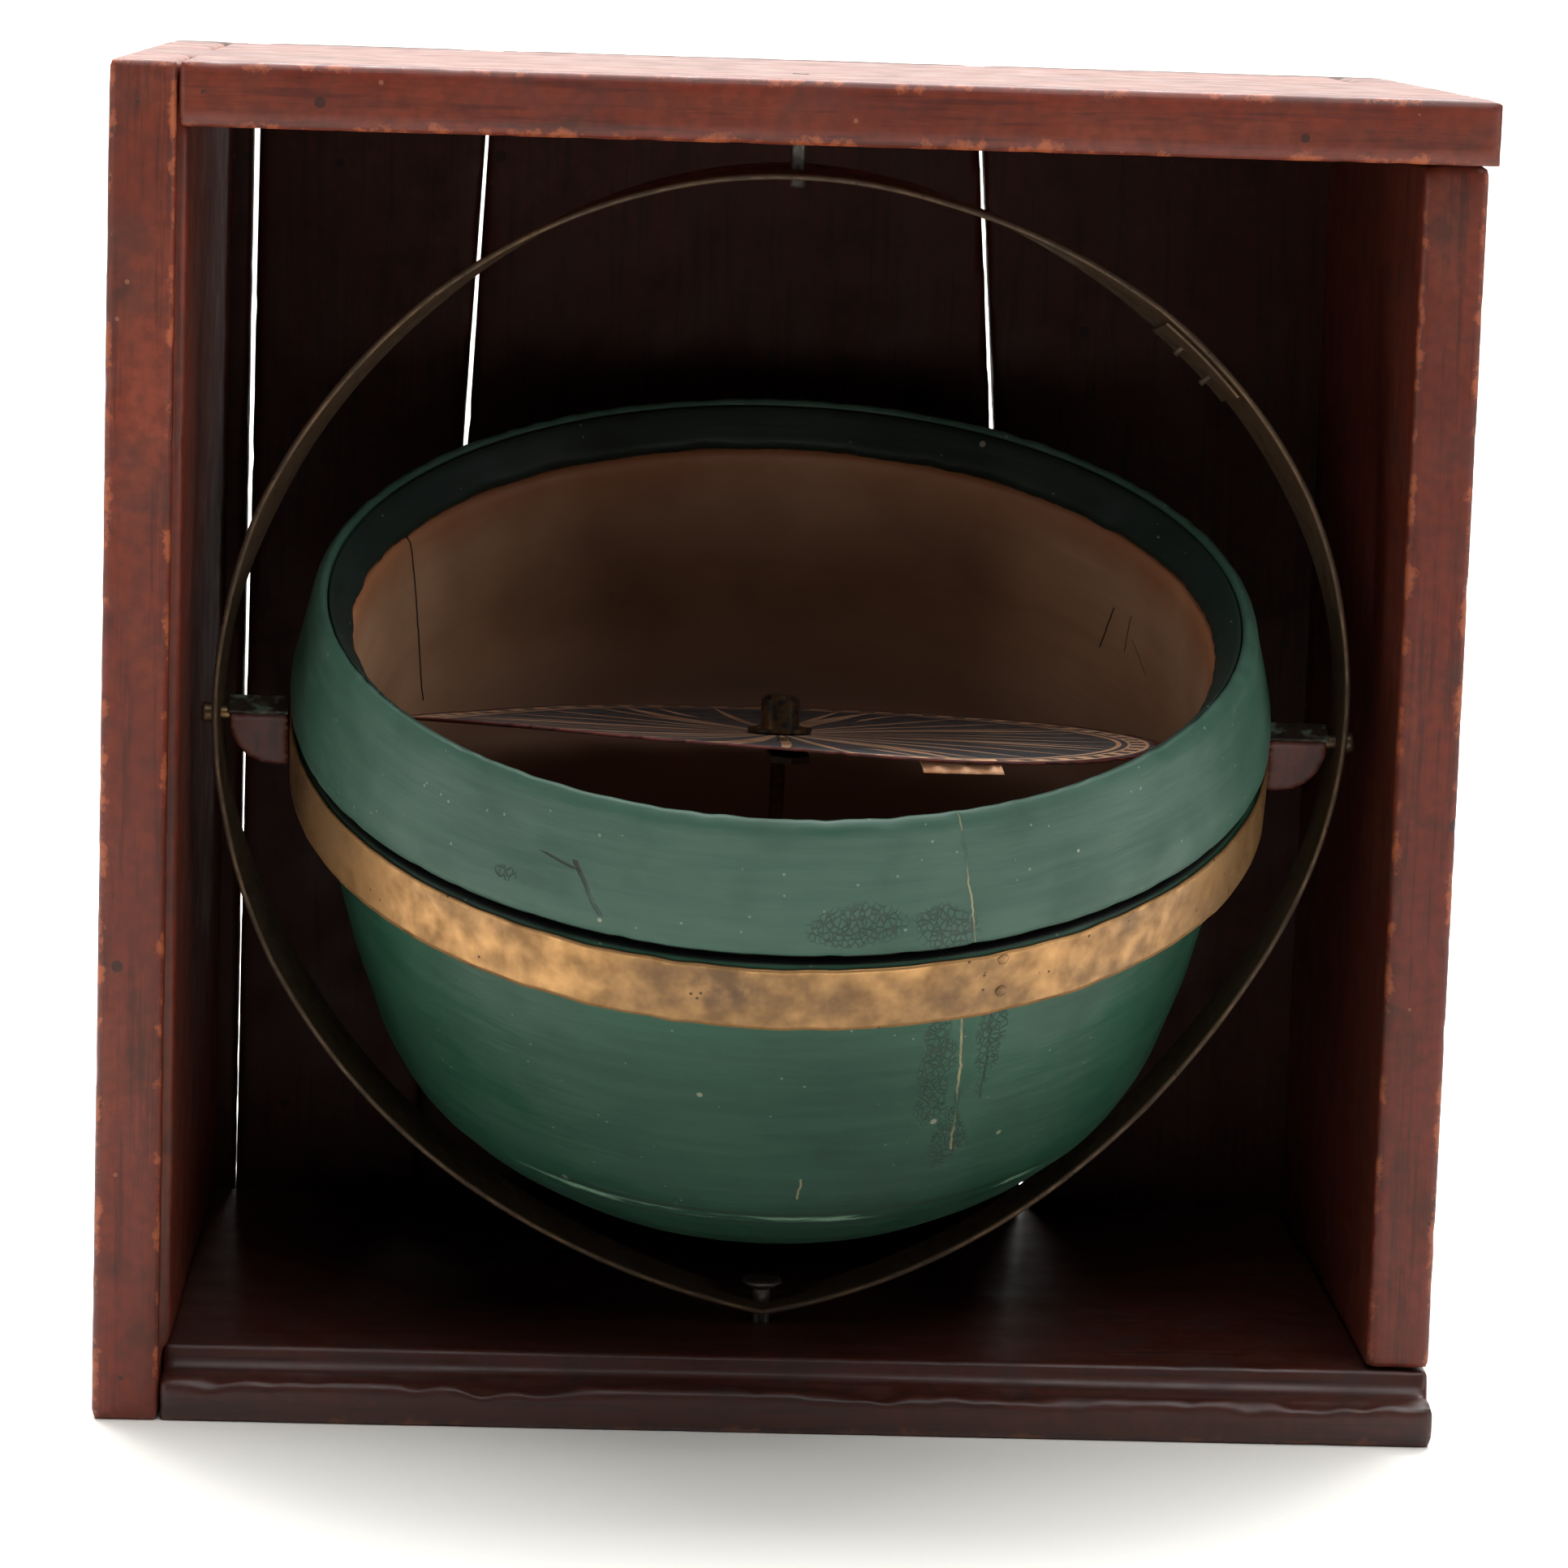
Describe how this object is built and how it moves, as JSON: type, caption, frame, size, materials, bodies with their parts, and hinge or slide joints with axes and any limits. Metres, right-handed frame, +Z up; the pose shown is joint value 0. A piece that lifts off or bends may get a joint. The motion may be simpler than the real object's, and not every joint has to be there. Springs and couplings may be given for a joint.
{
  "type": "gimballed dry-card compass in a box",
  "caption": "Wooden box on its side with a painted compass bowl hung in a gimbal ring; the ring, the bowl and the card on its point all turn.",
  "frame": {"origin": "middle of the whole object's footprint on the ground, with the leaning bowl counted", "axes": "+X to the right as seen from the open lid side, +Y from the open side to the back planks, +Z up"},
  "size_m": [0.2524, 0.2046, 0.252],
  "materials": {
    "stained_wood": "satin",
    "back_wood": "satin",
    "iron_nail": "matte",
    "pivot_brass": "satin",
    "pivot_steel": "satin",
    "ring_brass": "satin",
    "bowl_green": "satin",
    "collar_green": "satin",
    "putty": "satin",
    "hoop_brass": "satin",
    "block_wood": "satin",
    "ballast_iron": "matte",
    "card_paper": "matte",
    "jewel_stone": "gloss"
  },
  "bodies": {
    "box": {"left_board": "stained_wood", "right_board": "stained_wood", "top_board": "stained_wood", "bottom_board": "stained_wood", "back_plank_1": "back_wood", "back_plank_2": "back_wood", "back_plank_3": "back_wood", "back_plank_4": "back_wood", "back_nails": "iron_nail", "front_nails": "iron_nail", "side_nail": "iron_nail", "upper_pivot_pin": "pivot_brass", "lower_pivot_screw": "pivot_brass"},
    "ring": {"gimbal_ring": "ring_brass", "ring_lap": "ring_brass", "lap_rivets": "ring_brass"},
    "bowl": {"bowl_body": "bowl_green", "collar_ring": "collar_green", "putty_bead": "putty", "brass_band": "hoop_brass", "band_rivets": "hoop_brass", "left_trunnion_block": "block_wood", "right_trunnion_block": "block_wood", "left_trunnion_plate": "ring_brass", "right_trunnion_plate": "ring_brass", "left_trunnion_pin": "pivot_brass", "right_trunnion_pin": "pivot_brass", "pivot_post": "pivot_brass", "pivot_point": "pivot_steel", "ballast_weight": "ballast_iron"},
    "card": {"card_disc": "card_paper", "card_cap": "hoop_brass", "cap_jewel": "jewel_stone", "compass_needle": "pivot_steel", "needle_rivets": "hoop_brass"}
  },
  "joints": [
    {"name": "ring_swing", "type": "hinge", "parent": "box", "child": "ring", "pos_m": [0, -0.0095, 0.1286], "axis": [0, 0, 1], "range_deg": [-65, 65]},
    {"name": "bowl_swing", "type": "hinge", "parent": "ring", "child": "bowl", "pos_m": [0, -0.0095, 0.1286], "axis": [1, 0, 0], "continuous": true},
    {"name": "card_spin", "type": "hinge", "parent": "bowl", "child": "card", "pos_m": [0, -0.00984, 0.12954], "axis": [0, 0.0732, 0.9973], "continuous": true}
  ]
}
